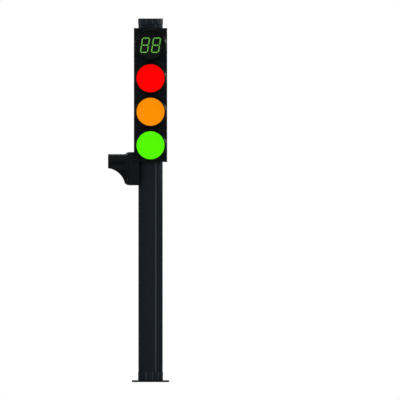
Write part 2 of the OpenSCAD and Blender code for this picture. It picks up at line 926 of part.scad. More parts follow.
// Each row is a limb: its two ends, then its radius at each end, in shares of the figure's height
STANDING = [
    [0, 0.915, 0, 0.92, 0.085, 0.085],
    [-0.13, 0.74, 0.13, 0.74, 0.06, 0.06],
    [0, 0.72, 0, 0.46, 0.13, 0.1],
    [-0.165, 0.74, -0.2, 0.45, 0.045, 0.035],
    [0.165, 0.74, 0.2, 0.45, 0.045, 0.035],
    [-0.06, 0.46, -0.11, 0.05, 0.06, 0.045],
    [0.06, 0.46, 0.11, 0.05, 0.06, 0.045]
];
WALKING = [
    [-0.03, 0.915, -0.03, 0.92, 0.08, 0.08],
    [-0.03, 0.85, -0.02, 0.76, 0.035, 0.045],
    [-0.02, 0.73, 0.0, 0.48, 0.085, 0.075],
    [-0.05, 0.76, -0.2, 0.62, 0.035, 0.03],
    [-0.2, 0.62, -0.26, 0.47, 0.03, 0.028],
    [0.03, 0.76, 0.14, 0.64, 0.035, 0.03],
    [0.14, 0.64, 0.29, 0.55, 0.03, 0.028],
    [-0.01, 0.45, -0.07, 0.26, 0.055, 0.042],
    [-0.07, 0.26, -0.17, 0.06, 0.042, 0.034],
    [-0.17, 0.05, -0.12, 0.035, 0.034, 0.028],
    [0.02, 0.45, 0.13, 0.27, 0.055, 0.042],
    [0.13, 0.27, 0.3, 0.14, 0.042, 0.034],
    [0.3, 0.13, 0.36, 0.19, 0.034, 0.026]
];

module standing_figure() {
    color("#eb0819")
        at(PEDESTRIAN)
            translate([0, 0, side_face + lens_front]) figure(STANDING, red_figure_u);
}

module walking_figure() {
    color("#6af01d")
        at(PEDESTRIAN)
            translate([0, 0, side_face + lens_front]) figure(WALKING, green_figure_u);
}

base_plate();
base_collar();
collar_screws();
pole_profile();
top_cap();
cap_screws();
vehicle_housing();
vehicle_top_plate();
vehicle_bottom_plate();
vehicle_plate_screws();
vehicle_dividers();
vehicle_mount_bolts();
rear_housing();
rear_mount_bolts();
pedestrian_housing();
pedestrian_mount_bolts();
cable_bushes();
terminal_block();
hinge_pins();
door(COUNTDOWN);  // countdown_door
visor(COUNTDOWN);  // countdown_visor
lens(COUNTDOWN, "#101214", 0);  // countdown_panel
seals(COUNTDOWN);  // countdown_seals
lamp_unit(COUNTDOWN);  // countdown_lamp_unit
door_screws(COUNTDOWN);  // countdown_door_screws
countdown_digits();
door(RED);  // red_door
visor(RED);  // red_visor
lens(RED, "#ff0000", lens_rise);  // red_lens
seals(RED);  // red_seals
lamp_unit(RED);  // red_lamp_unit
door_screws(RED);  // red_door_screws
door(AMBER);  // amber_door
visor(AMBER);  // amber_visor
lens(AMBER, "#ff8d06", lens_rise);  // amber_lens
seals(AMBER);  // amber_seals
lamp_unit(AMBER);  // amber_lamp_unit
door_screws(AMBER);  // amber_door_screws
door(GREEN);  // green_door
visor(GREEN);  // green_visor
lens(GREEN, "#57fb06", lens_rise);  // green_lens
seals(GREEN);  // green_seals
lamp_unit(GREEN);  // green_lamp_unit
door_screws(GREEN);  // green_door_screws
door(REAR);  // rear_door
visor(REAR);  // rear_visor
lens(REAR, "#c08a3a", lens_rise);  // rear_lens
seals(REAR);  // rear_seals
lamp_unit(REAR);  // rear_lamp_unit
door_screws(REAR);  // rear_door_screws
door(PEDESTRIAN);  // pedestrian_door
visor(PEDESTRIAN);  // pedestrian_visor
lens(PEDESTRIAN, "#101214", 0);  // pedestrian_panel
seals(PEDESTRIAN);  // pedestrian_seals
lamp_unit(PEDESTRIAN);  // pedestrian_lamp_unit
door_screws(PEDESTRIAN);  // pedestrian_door_screws
standing_figure();
walking_figure();
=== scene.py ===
import math

import bmesh
import bpy
import mathutils
import numpy as np
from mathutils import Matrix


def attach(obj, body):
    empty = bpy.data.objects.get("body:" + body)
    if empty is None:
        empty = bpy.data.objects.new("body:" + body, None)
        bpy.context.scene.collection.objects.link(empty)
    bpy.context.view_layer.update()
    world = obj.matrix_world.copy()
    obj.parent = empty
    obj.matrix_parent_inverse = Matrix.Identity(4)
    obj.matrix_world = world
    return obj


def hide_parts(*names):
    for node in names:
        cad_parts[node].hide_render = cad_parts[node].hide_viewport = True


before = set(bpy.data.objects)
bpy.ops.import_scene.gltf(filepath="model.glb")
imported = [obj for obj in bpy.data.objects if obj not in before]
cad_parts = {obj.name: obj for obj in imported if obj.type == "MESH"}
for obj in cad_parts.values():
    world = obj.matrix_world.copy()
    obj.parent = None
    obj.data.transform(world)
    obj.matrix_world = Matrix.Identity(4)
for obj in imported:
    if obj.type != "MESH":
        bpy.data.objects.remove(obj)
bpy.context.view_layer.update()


# Foot plate
# One 20 mm steel plate, flame cut with round corners and drilled for four anchor bolts and the
# cable. Its cut edges are ground round, and it is dipped in a thick black bitumen paint.

MM = 0.001
MERGE, FLAT_ANGLE, EDGE_ANGLE = 0.02, 0.4, 40


def linear(code):
    """The linear colour that a shader takes for an sRGB hex colour: each channel is divided by
    12.92 where it is dark, and otherwise shifted and raised to the power 2.4."""
    part = np.array([int(code[i:i + 2], 16) for i in (1, 3, 5)]) / 255
    return (*np.where(part <= 0.04045, part / 12.92, ((part + 0.055) / 1.055) ** 2.4), 1.0)


def add(material, kind, settings=None, sockets=None):
    """Adds a node to a material or the world. settings holds its own properties by name, and
    sockets gives each input its value, or the output of another node that feeds it."""
    made = material.node_tree.nodes.new(kind)
    for name, value in (settings or {}).items():
        setattr(made, name, value)
    for name, value in (sockets or {}).items():
        if isinstance(value, bpy.types.NodeSocket):
            material.node_tree.links.new(value, made.inputs[name])
        else:
            made.inputs[name].default_value = value
    return made


def surfaced(name, **sockets):
    """A new material whose only shader is a Principled one, with these sockets set on it, and
    that shader."""
    material = bpy.data.materials.new(name)
    material.use_nodes = True
    material.node_tree.nodes.clear()
    shader = add(material, "ShaderNodeBsdfPrincipled", sockets=sockets)
    add(material, "ShaderNodeOutputMaterial", sockets={"Surface": shader.outputs["BSDF"]})
    return material, shader


def coated(name, dark, light, patch_mm, grain_mm, rough, dent_mm, **sockets):
    """A painted, coated or moulded finish. Broad noise of patch_mm shifts the colour from dark
    to light, and fine noise of grain_mm shifts the roughness between its two values and dents
    the surface by dent_mm. The grain is drawn coarser than the real one, so that it shows."""
    material, shader = surfaced(name, **sockets)
    place = add(material, "ShaderNodeTexCoord").outputs["Object"]
    patches = add(material, "ShaderNodeTexNoise",
                  sockets={"Vector": place, "Scale": 1000 / patch_mm, "Detail": 3.0})
    tint = add(material, "ShaderNodeMix", {"data_type": "RGBA"},
               {"Factor": patches.outputs["Fac"], "A": linear(dark), "B": linear(light)})
    grain = add(material, "ShaderNodeTexNoise",
                sockets={"Vector": place, "Scale": 1000 / grain_mm, "Detail": 2.0})
    gloss = add(material, "ShaderNodeMapRange",
                sockets={"Value": grain.outputs["Fac"], "To Min": rough[0], "To Max": rough[1]})
    dents = add(material, "ShaderNodeBump",
                sockets={"Height": grain.outputs["Fac"], "Distance": dent_mm * MM,
                         "Strength": 0.5})
    for socket, feed in (("Base Color", tint.outputs["Result"]),
                         ("Roughness", gloss.outputs["Result"]),
                         ("Normal", dents.outputs["Normal"])):
        material.node_tree.links.new(feed, shader.inputs[socket])
    return material


def dress(piece, material, body, slot_name, *nodes):
    """Gives a finished piece its material and the body that it rides on, and hides the CAD nodes
    that it stands for. slot_name, the record's slot that it takes its finish from, is not used."""
    piece.data.materials.clear()
    piece.data.materials.append(material)
    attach(piece, body)
    if nodes:
        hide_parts(*nodes)


def placed(name, data):
    """An object from its data, linked to the scene."""
    made = bpy.data.objects.new(name, data)
    bpy.context.scene.collection.objects.link(made)
    return made


def shown(name, shape, sharp=35):
    """An object from a bmesh, shaded smooth apart from edges sharper than this many degrees."""
    mesh = bpy.data.meshes.new(name)
    shape.to_mesh(mesh)
    shape.free()
    mesh.shade_smooth()
    mesh.set_sharp_from_angle(angle=math.radians(sharp))
    return placed(name, mesh)


def eased(node, round_mm):
    """A copy of a CAD node: its loose triangles are merged into flat faces where they turn less
    than FLAT_ANGLE, and edges sharper than EDGE_ANGLE, in degrees, are rounded by round_mm."""
    shape = bmesh.new()
    shape.from_mesh(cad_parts[node].data)
    bmesh.ops.remove_doubles(shape, verts=shape.verts, dist=MERGE * MM)
    bmesh.ops.dissolve_limit(shape, angle_limit=math.radians(FLAT_ANGLE),
                             verts=shape.verts, edges=shape.edges)
    sharp = [e for e in shape.edges
             if len(e.link_faces) == 2 and e.calc_face_angle(0) > math.radians(EDGE_ANGLE)]
    bmesh.ops.bevel(shape, geom=sharp, offset=round_mm * MM, offset_type="OFFSET", segments=2,
                    profile=0.5, affect="EDGES", clamp_overlap=True)
    return shown(node + "_finished", shape)


# Bitumen paint on steel: near black, a little blotchy and dull, so that it drinks the light.
plate_paint = coated("bitumen_painted_steel", "#111214", "#18191B", 45, 4, (0.5, 0.65), 0.15,
                     **{"IOR": 1.5, "Specular IOR Level": 0.01})
dress(eased("base_plate", 1.5), plate_paint, "pole", "plate_paint", "base_plate")


# Foot collar and its screws
# A thin cast aluminium sleeve round the foot of the pole, with four shallow flutes front and
# back, coated satin black. Four pan-head screws go through it into the pole.

POLE_W, POLE_D = 255.0, 150.0
SLEEVE_FIT, SLEEVE_WALL = 0.4, 2.5
FLUTE_PITCH, FLUTE_W, FLUTE_DEPTH, FLUTE_SLOPE = 62.7, 24.0, 1.0, 0.35
COLLAR_FOOT, COLLAR_H = 20.0, 86.0
RIM_ROUND = 1.2
OUTLINE_POINTS, SNAP = 720, 0.002


def stadium(grow):
    """Points round an outline with half-round ends, in millimetres, with their outward normals.
    The way round is cut into equal angles of the half circles and equal steps of the flats, and
    the outline stands grow outside the pole's own."""
    half, flat = POLE_D / 2, POLE_W - POLE_D
    step = OUTLINE_POINTS // 4
    angle = np.linspace(-math.pi / 2, math.pi / 2, step, endpoint=False)
    along = np.linspace(-0.5, 0.5, step, endpoint=False) * flat
    east, north = np.cos(angle), np.sin(angle)
    zero, one = np.zeros(step), np.ones(step)
    normal = np.concatenate([np.stack([east, north], 1), np.stack([zero, one], 1),
                             np.stack([-east, -north], 1), np.stack([zero, -one], 1)])
    core = np.concatenate([np.stack([one * flat / 2, zero], 1), np.stack([-along, zero], 1),
                           np.stack([-one * flat / 2, zero], 1), np.stack([along, zero], 1)])
    return core + normal * (half + grow), normal


def fluted(section):
    """A sleeve: at each (offset, height, share) of the section the outline is set out by offset,
    and the flutes sink it by share of their depth, with a sloped wall at each side."""
    outline, normal = stadium(SLEEVE_FIT)
    middle = np.round(outline[:, 0] / FLUTE_PITCH - 0.5) + 0.5
    middle = np.clip(middle, -1.5, 1.5) * FLUTE_PITCH
    reach = np.abs(outline[:, 0] - middle)
    sink = FLUTE_DEPTH * np.clip((FLUTE_W / 2 - reach) / FLUTE_SLOPE + 0.5, 0, 1)
    sink = np.where(np.abs(normal[:, 1]) > 0.5, sink, 0)
    offset, height, share = np.array(section).T
    flat = outline + normal * (offset[:, None] - share[:, None] * sink)[:, :, None]
    tall = np.broadcast_to(height[:, None, None], (*flat.shape[:2], 1))
    return np.concatenate([flat, tall], 2) * MM


def surface(name, grids, around=True, loop=False, sharp=35):
    """A piece from grids of points, in rows and columns. Four neighbours make a face, the last
    column joins the first where around is true (it may say so for each grid), and the last row
    the first where loop is true. Points that fall together are merged, and the faces are turned
    outwards."""
    points, faces, start = [], [], 0
    for grid, joined in zip(grids, np.broadcast_to(around, len(grids))):
        rows, columns = grid.shape[:2]
        index = np.arange(rows * columns).reshape(rows, columns) + start
        index = np.hstack([index, index[:, :1]]) if joined else index
        index = np.vstack([index, index[:1]]) if loop else index
        corners = (index[:-1, :-1], index[:-1, 1:], index[1:, 1:], index[1:, :-1])
        faces.append(np.stack(corners, -1).reshape(-1, 4))
        points.append(grid.reshape(-1, 3))
        start += rows * columns
    mesh = bpy.data.meshes.new(name)
    mesh.from_pydata(np.concatenate(points), [], np.concatenate(faces).tolist())
    shape = bmesh.new()
    shape.from_mesh(mesh)
    bpy.data.meshes.remove(mesh)
    bmesh.ops.remove_doubles(shape, verts=shape.verts, dist=SNAP * MM)
    bmesh.ops.recalc_face_normals(shape, faces=shape.faces)
    return shown(name, shape, sharp)


def rounded_rim(top):
    """The points that round the outer rim of a sleeve's section: a quarter of a circle, from the
    sleeve's outside up to its top."""
    across, up = SLEEVE_WALL - RIM_ROUND, top - RIM_ROUND
    return [(across + RIM_ROUND * math.cos(a), up + RIM_ROUND * math.sin(a), 1)
            for a in np.radians((0, 30, 60, 90))]


def recoloured(material, share, code):
    """Turns the base colour of a finish to another one, by the share that a socket gives."""
    shader = next(n for n in material.node_tree.nodes if n.type == "BSDF_PRINCIPLED")
    colour = shader.inputs["Base Color"].links[0].from_socket
    mixed = add(material, "ShaderNodeMix", {"data_type": "RGBA"},
                {"Factor": share, "A": colour, "B": linear(code)})
    material.node_tree.links.new(mixed.outputs["Result"], shader.inputs["Base Color"])


def painted_highlight_lines(material, highlight_colour, places_mm, half_mm):
    """Paints highlight lines along sharp front edges: the base colour turns to the highlight
    colour at each place along X and falls back to itself half_mm away, and only on upright faces
    where Y is below 0."""
    place = add(material, "ShaderNodeSeparateXYZ",
                sockets={"Vector": add(material, "ShaderNodeTexCoord").outputs["Object"]})
    facing = add(material, "ShaderNodeSeparateXYZ",
                 sockets={"Vector": add(material, "ShaderNodeNewGeometry").outputs["Normal"]})
    front = add(material, "ShaderNodeMath", {"operation": "LESS_THAN"},
                {0: place.outputs["Y"], 1: 0.0})
    upright = add(material, "ShaderNodeMath", {"operation": "COMPARE"},
                  {0: facing.outputs["Z"], 1: 0.0, 2: 0.5})
    highlight_share = 0.0
    for x in places_mm:
        aside = add(material, "ShaderNodeMath", {"operation": "SUBTRACT"},
                    {0: place.outputs["X"], 1: x * MM})
        aside = add(material, "ShaderNodeMath", {"operation": "ABSOLUTE"},
                    {0: aside.outputs["Value"]})
        near = add(material, "ShaderNodeMapRange",
                   sockets={"Value": aside.outputs["Value"], "From Max": half_mm * MM,
                            "To Min": 1.0, "To Max": 0.0})
        highlight_share = add(material, "ShaderNodeMath", {"operation": "MAXIMUM"},
                   {0: near.outputs["Result"], 1: highlight_share}).outputs["Value"]
    for limit in (front, upright):
        highlight_share = add(material, "ShaderNodeMath", {"operation": "MULTIPLY"},
                   {0: highlight_share, 1: limit.outputs["Value"]}).outputs["Value"]
    recoloured(material, highlight_share, highlight_colour)


collar_top = COLLAR_FOOT + COLLAR_H
collar_section = [(0, COLLAR_FOOT, 0), (SLEEVE_WALL, COLLAR_FOOT, 1)]
collar_section += rounded_rim(collar_top) + [(0, collar_top, 0)]
# Satin coat on a casting: black with a faint sparkle, and a painted highlight along the left edge
# of three of the flutes, on the front only.
cast_black = coated("satin_coated_casting", "#16191C", "#1C1F23", 30, 2.5, (0.32, 0.45), 0.12,
                    **{"IOR": 1.5, "Specular IOR Level": 0.012})
# Painted highlight: a soft lighter line at each of these flute edges, standing in for the light
# that they catch.
painted_highlight_lines(cast_black, "#30343A", [FLUTE_PITCH * i - FLUTE_W / 2 for i in (-0.5, 0.5, 1.5)], 8.0)
dress(surface("fluted_foot_collar", [fluted(collar_section)], loop=True),
      cast_black, "pole", "cast_black", "base_collar")


def turned(places, section, facets=40, sides=0):
    """Turned pieces, each on its own axis. places holds, for each one, its centre and the three
    directions that its own axes point in, and the section is (radius, height) all round. Where
    sides is not 0, a row whose radius is negative has that many flats, and its corners stand at
    the radius."""
    angle = np.linspace(0, 2 * math.pi, facets, endpoint=False)
    radius, height = np.array(section, float).T
    turn = np.ones((len(radius), facets))
    if sides:
        slice_angle = np.mod(angle, 2 * math.pi / sides) - math.pi / sides
        turn[radius < 0] = math.cos(math.pi / sides) / np.cos(slice_angle)
    ring = np.abs(radius)[:, None] * turn
    grids = []
    for centre, across, up, out in places:
        shape = (ring * np.cos(angle))[:, :, None] * np.array(across)
        shape = shape + (ring * np.sin(angle))[:, :, None] * np.array(up)
        grids.append((shape + height[:, None, None] * np.array(out) + np.array(centre)) * MM)
    return grids


def sleeve_screw_places(z):
    """Where the four screws of a sleeve stand: on the ribs between the flutes, front and back."""
    face = POLE_D / 2 + SLEEVE_FIT + SLEEVE_WALL
    return [((x * FLUTE_PITCH, -s * face, z), (s, 0, 0), (0, 0, 1), (0, -s, 0))
            for s in (1, -1) for x in (-1, 1)]


# The head is a low dome with a hexagon socket, and the shank runs on into the pole's wall.
sleeve_screw = [(0, -5.5), (2.1, -5.5), (2.3, -5.2), (2.3, 0), (3.9, 0), (4.0, 0.3), (3.8, 0.8),
                (3.2, 1.2), (2.4, 1.45), (-1.8, 1.5), (-1.7, 1.4), (-1.7, 0.4), (0, 0.3)]
# Zinc-plated steel under a black chromate: a dark metal with a soft shine.
screw_steel = coated("blackened_zinc_screw_steel", "#141619", "#1B1D20", 3, 0.8, (0.35, 0.48),
                     0.02, Metallic=1.0)
collar_places = sleeve_screw_places(COLLAR_FOOT + COLLAR_H / 2)
dress(surface("foot_collar_screws", turned(collar_places, sleeve_screw, sides=6)),
      screw_steel, "pole", "screw_steel", "collar_screws")


# Pole
# A hollow extruded aluminium profile, 5 mm thick at its half-round sides, with raised flat
# bands front and back. A fine groove runs down each edge of the bands.

POLE_FOOT, POLE_TOP = 20.0, 3794.0
BAND, BAND_H, GROOVE = 52.5, 1.0, 1.9
POLE_WALL, ARC_END = 5.0, 87.6


def pole_outline():
    """The profile's outside. Each band is flat and ends in a slope down to the floor of its
    groove, and from groove to groove run arcs that fall short of a half circle."""
    side_r, side_x = POLE_D / 2 - BAND_H, (POLE_W - POLE_D) / 2 + BAND_H
    edge = [(BAND - 0.3, POLE_D / 2), (BAND - 0.15, POLE_D / 2 - 0.1),
            (BAND + 0.45, POLE_D / 2 - GROOVE + 0.05), (BAND + 0.6, POLE_D / 2 - GROOVE),
            (BAND + 1.4, POLE_D / 2 - GROOVE), (BAND + 2.4, POLE_D / 2 - BAND_H - 0.05)]
    angle = np.radians(np.linspace(ARC_END, -ARC_END, 74))
    arc = np.stack([side_x + side_r * np.cos(angle), side_r * np.sin(angle)], 1)
    right_back = np.array(edge + arc[:len(arc) // 2].tolist())
    right = np.concatenate([right_back, right_back[::-1] * (1, -1)])
    return np.concatenate([right, -right])


def hollow_pole(outline):
    """The profile as a shell: the outline at the foot and the top, and inside it the nearest
    points of an outline with half-round ends, one wall further in."""
    core = np.column_stack([np.clip(outline[:, 0], -BAND, BAND), np.zeros(len(outline))])
    out = outline - core
    inside = core + out / np.hypot(*out.T)[:, None] * (POLE_D / 2 - BAND_H - POLE_WALL)
    rows = [(outline, POLE_FOOT), (outline, POLE_TOP), (inside, POLE_TOP), (inside, POLE_FOOT)]
    return np.array([np.column_stack([line, np.full(len(line), z)]) for line, z in rows]) * MM


# Powder coat on extruded aluminium: graphite black with a cold tint, satin, with a fine orange
# peel, and a painted highlight along the right-hand edge of the front band.
pole_coat = coated("graphite_powder_coat", "#161A1F", "#1A1E23", 400, 3.5, (0.3, 0.4), 0.1,
                   **{"IOR": 1.5, "Specular IOR Level": 0.006})
# Painted highlight: a soft lighter line down the right-hand groove of the front band.
painted_highlight_lines(pole_coat, "#363E43", [BAND + 2], 11.0)
dress(surface("pole_with_grooved_bands", [hollow_pole(pole_outline())], loop=True, sharp=12),
      pole_coat, "pole", "pole_aluminium", "pole_profile")


# Pole cap and its screws
# A cast cap with the collar's flutes, pressed over the top of the pole and held by four screws.

CAP_FOOT, CAP_TOP, CAP_LID = 3742.0, 3800.0, 6.0

cap_section = [(0, CAP_TOP - CAP_LID, 0), (0, CAP_FOOT, 0), (SLEEVE_WALL, CAP_FOOT, 1)]
cap_section += rounded_rim(CAP_TOP)
cap_side = fluted(cap_section)


def closed_middle(rim):
    """Rows that close an outline with half-round ends: they shrink onto the straight line
    between the middles of its ends, and there the two sides meet."""
    flat = (POLE_W - POLE_D) / 2 * MM
    core = rim.copy()
    core[:, 0] = np.clip(rim[:, 0], -flat, flat)
    core[:, 1] = 0
    return np.array([rim + (core - rim) * k for k in np.linspace(0, 1, 4)])


cap_grid = np.concatenate([closed_middle(cap_side[0])[:0:-1], cap_side,
                           closed_middle(cap_side[-1])[1:]])
dress(surface("fluted_pole_cap", [cap_grid]), cast_black, "pole", "cast_black", "top_cap")
cap_places = sleeve_screw_places((CAP_FOOT + CAP_TOP) / 2)
dress(surface("pole_cap_screws", turned(cap_places, sleeve_screw, sides=6)),
      screw_steel, "pole", "screw_steel", "cap_screws")


# Housing of the four-window head
# One length of extruded aluminium, saddle-backed to fit round the pole, with a slot all down
# its front. A plate closes each end, and three plates part the windows and stop light leaks.

SADDLE_EDGE, SADDLE_SOFT = -86, 2


def painted_saddle_shade(material, darker, edge_mm, soft_mm):
    """Paints shade on a coated finish behind a place along Y, where the housing turns into its
    saddle: the base colour is mixed with the darker one over soft_mm behind edge_mm."""
    place = add(material, "ShaderNodeSeparateXYZ",
                sockets={"Vector": add(material, "ShaderNodeTexCoord").outputs["Object"]})
    share = add(material, "ShaderNodeMapRange",
                sockets={"Value": place.outputs["Y"], "From Min": edge_mm * MM,
                         "From Max": (edge_mm + soft_mm) * MM})
    recoloured(material, share.outputs["Result"], darker)


# The same powder coat as the pole's, one shade lighter on the flat sides, and darker where the
# saddle wraps the pole: painted shade, as of a shaded recess round the pole.
housing_coat = coated("slate_powder_coat", "#1B1F23", "#21252A", 300, 3.5, (0.34, 0.44), 0.1,
                      **{"IOR": 1.5, "Specular IOR Level": 0.006})
painted_saddle_shade(housing_coat, "#0C0D10", SADDLE_EDGE, SADDLE_SOFT)
dress(eased("vehicle_housing", 0.8), housing_coat, "pole", "housing_aluminium",
      "vehicle_housing")

# Pressed aluminium plates in a plain black coat, a little duller than the housing.
plate_coat = coated("matt_black_plate_coat", "#0F1013", "#141518", 90, 3, (0.42, 0.55), 0.08,
                    **{"IOR": 1.5, "Specular IOR Level": 0.006})
for node in ("vehicle_top_plate", "vehicle_bottom_plate", "vehicle_dividers"):
    dress(eased(node, 0.5), plate_coat, "pole", "housing_aluminium", node)


# Screws and bolts of the heads
# The end plates are held by self-tapping screws in the profile's ports. Hexagon bolts hold the
# saddles to the pole, each with a nut inside the pole.

HEAD_W, MODULE_H, HEAD_TOP = 348.0, 350.0, 3700.0
FACE_FRONT, FACE_SIDE = POLE_D / 2, POLE_W / 2
WRAP, SADDLE, SEAT = 27.0, 4.5, 97.0
PORT_SIDE, PORT_SEAT = 8.5, 8.0
# Each window: the height of its middle, how far round it faces, and the pole's face behind it.
WINDOWS = {
    "countdown": (HEAD_TOP - 0.5 * MODULE_H, 0, FACE_FRONT),
    "red": (HEAD_TOP - 1.5 * MODULE_H, 0, FACE_FRONT),
    "amber": (HEAD_TOP - 2.5 * MODULE_H, 0, FACE_FRONT),
    "green": (HEAD_TOP - 3.5 * MODULE_H, 0, FACE_FRONT),
    "rear": (HEAD_TOP - 0.5 * MODULE_H, 180, FACE_FRONT),
    "pedestrian": (2230.0, -90, FACE_SIDE),
}


def axes(window):
    """The directions in the row frame of a window's own sideways, upward and outward axes."""
    turn = math.radians(WINDOWS[window][1])
    return ((math.cos(turn), math.sin(turn), 0), (0, 0, 1), (math.sin(turn), -math.cos(turn), 0))


def spot(window, u, v, w):
    """Points in the row frame, in millimetres: u to the viewer's right of the window's middle,
    v above it and w out from the pole's face. u, v and w may be whole arrays."""
    height, _, face = WINDOWS[window]
    sideways, up, out = (np.array(axis) for axis in axes(window))
    u, v, w = np.broadcast_arrays(u, v, w)
    return (u[..., None] * sideways + v[..., None] * up + (w[..., None] + face) * out
            + np.array([0, 0, height]))


port_places = [(x, y) for x in (-HEAD_W / 2 + PORT_SIDE, HEAD_W / 2 - PORT_SIDE)
               for y in (-FACE_FRONT + WRAP - PORT_SIDE, -FACE_FRONT - SEAT + PORT_SEAT)]
plate_screw = [(0, -18), (1.0, -17.4), (2.0, -15.5), (2.0, 0), (4.3, 0), (4.5, 0.4), (4.2, 1.2),
               (3.4, 1.8), (2.6, 2.0), (-1.9, 2.0), (-1.8, 1.9), (-1.8, 0.6), (0, 0.5)]
screw_places = [((x, y, HEAD_TOP), (1, 0, 0), (0, 1, 0), (0, 0, 1)) for x, y in port_places]
screw_places += [((x, y, HEAD_TOP - 4 * MODULE_H), (1, 0, 0), (0, -1, 0), (0, 0, -1))
                 for x, y in port_places]
dress(surface("end_plate_screws", turned(screw_places, plate_screw, sides=6)),
      screw_steel, "pole", "screw_steel", "vehicle_plate_screws")


def hexagon(low, high):
    """The section of a hexagon head or nut: its corners stand at HEX_R, which is written negative
    so that it is drawn with flats, and the chamfer takes off its top corners."""
    return [(-HEX_R, low), (-HEX_R, high - CHAMFER), (-HEX_R + 0.8 * CHAMFER, high)]


# Bright zinc on steel bolts: a light grey metal with a soft shine.
bolt_steel = coated("bright_zinc_bolt_steel", "#8F9296", "#A4A6A6", 6, 1.2, (0.28, 0.4), 0.02,
                    Metallic=1.0)
BOLT_R, BOLT_END, NUT_FOOT, NUT_TOP, BOLT_TOP = 5.0, -16.7, -14.7, -6.7, SADDLE + 7
HEX_R, CHAMFER = 9.0, 0.8
head_bolt = [(0, BOLT_END), (4.4, BOLT_END), (BOLT_R, -16.0), (BOLT_R, NUT_FOOT)]
head_bolt += hexagon(NUT_FOOT, NUT_TOP) + [(BOLT_R, NUT_TOP), (BOLT_R, SADDLE)]
head_bolt += hexagon(SADDLE, BOLT_TOP) + [(3, BOLT_TOP), (0, BOLT_TOP)]
bolts = {
    "vehicle_mount_bolts": [("countdown", -30, 120), ("countdown", 30, 120),
                            ("red", -30, -140), ("red", 30, -140),
                            ("green", -30, -145), ("green", 30, -145)],
    "rear_mount_bolts": [("rear", u, v) for u in (-30, 30) for v in (-120, 120)],
    "pedestrian_mount_bolts": [("pedestrian", 0, v) for v in (-120, 120)],
}
for node, places in bolts.items():
    grids = turned([(spot(window, u, v, 0.0), *axes(window)) for window, u, v in places],
                   head_bolt, facets=48, sides=6)
    dress(surface(node + "_finished", grids), bolt_steel, "pole", "bolt_steel", node)


# Cable bushes and terminal block
# A soft rubber bush lines each hole where the cables leave the pole. The supply is joined in a
# terminal block of cream polyamide in the green window, with a well in it for each way.

bush = [(12, -9), (13, -9.8), (16.2, -9.8), (17, -9), (17, SADDLE), (20.4, SADDLE),
        (21, SADDLE + 0.6), (21, SADDLE + 2.2), (20.2, SADDLE + 3), (13, SADDLE + 3),
        (12, SADDLE + 2)]
# Moulded rubber: deep black and matt.
rubber = coated("moulded_black_rubber", "#0D0E0F", "#121314", 40, 1.5, (0.6, 0.75), 0.05,
                **{"IOR": 1.5, "Specular IOR Level": 0.008})
bush_places = [(spot(window, 0.0, v, 0.0), *axes(window))
               for window, v in (("green", 60.0), ("rear", 0.0), ("pedestrian", 0.0))]
dress(surface("rubber_cable_bushes", turned(bush_places, bush), loop=True),
      rubber, "pole", "seal_rubber", "cable_bushes")

# Moulded polyamide: cream, slightly translucent looking, with a fine spark-eroded grain.
terminal_plastic = coated("cream_polyamide", "#CFC9B4", "#DAD5C4", 25, 1.0, (0.38, 0.5), 0.03,
                          **{"IOR": 1.53, "Specular IOR Level": 0.4})
dress(eased("terminal_block", 0.4), terminal_plastic, "pole", "terminal_plastic",
      "terminal_block")


# Housings of the single heads
# The rear head and the side head each have a moulded housing of their own, an open box with a
# lip at its mouth. The side one is stepped to clear the corner of the four-window head.

# Moulded glass-filled polyamide: black, dull and finely grained.
housing_moulding = coated("moulded_black_polyamide", "#0F1215", "#14171A", 120, 2, (0.45, 0.6),
                          0.1, **{"IOR": 1.53, "Specular IOR Level": 0.006})
for node in ("rear_housing", "pedestrian_housing"):
    dress(eased(node, 0.8), housing_moulding, "pole", "housing_plastic", node)


# Doors
# Each window is a moulded polycarbonate door: a square skirt that closes over the housing's
# lip, a cone that rises to the ring round the lens, and knuckles for its two hinges.

# Moulded polycarbonate: deep black with a low gloss, so that only the cone's edge draws light.
door_moulding = coated("moulded_black_polycarbonate", "#0A0C0E", "#0F1112", 150, 2,
                       (0.26, 0.36), 0.06, **{"IOR": 1.585, "Specular IOR Level": 0.006})
for window in WINDOWS:
    dress(eased(window + "_door", 0.7), door_moulding, window + "_window", "door_plastic",
          window + "_door")


# Hinge pins
# Two stainless pins for each door, dropped in from above: turned, with a button head on top
# and a rounded point below.

AXIS_U, AXIS_W, HINGE_V, HINGE_LEN = 168.0, 116.0, 130.0, 36.0
PIN_R, PIN_HEAD_R, PIN_TOP = 3.0, 4.2, HINGE_LEN + 1.5
pin = [(0, 0), (PIN_R - 0.8, 0), (PIN_R, 0.8), (PIN_R, HINGE_LEN), (PIN_HEAD_R, HINGE_LEN),
       (PIN_HEAD_R, PIN_TOP - 0.6), (PIN_HEAD_R - 0.6, PIN_TOP), (0, PIN_TOP)]
pin_places = []
for window in WINDOWS:
    sideways, up, out = axes(window)
    pin_places += [(spot(window, AXIS_U, v - HINGE_LEN / 2, AXIS_W), sideways,
                    tuple(-a for a in out), up) for v in (-HINGE_V, HINGE_V)]
# Turned stainless steel: grey and bright, its fine turning marks lost at this size.
pin_steel = coated("turned_stainless_steel", "#8C8E91", "#9A9C9F", 5, 1, (0.22, 0.32), 0.02,
                   Metallic=1.0)
dress(surface("turned_hinge_pins", turned(pin_places, pin, facets=24)),
      pin_steel, "pole", "bolt_steel", "hinge_pins")


# Visors
# A round hood on each door keeps the sun off its lens. It is a 2.5 mm moulded tube whose
# underside is cut away along a hollow curve, and its free edge is rounded.

OPENING_R, VISOR_ROOT, VISOR_LEN, VISOR_WALL = 152.0, 142.0, 175.0, 2.5
VISOR_R, EDGE_R = OPENING_R + VISOR_WALL + 1, 1.1
CUT_R, CUT_DROP, CUT_OUT = 205.0, 199.0, 200.0


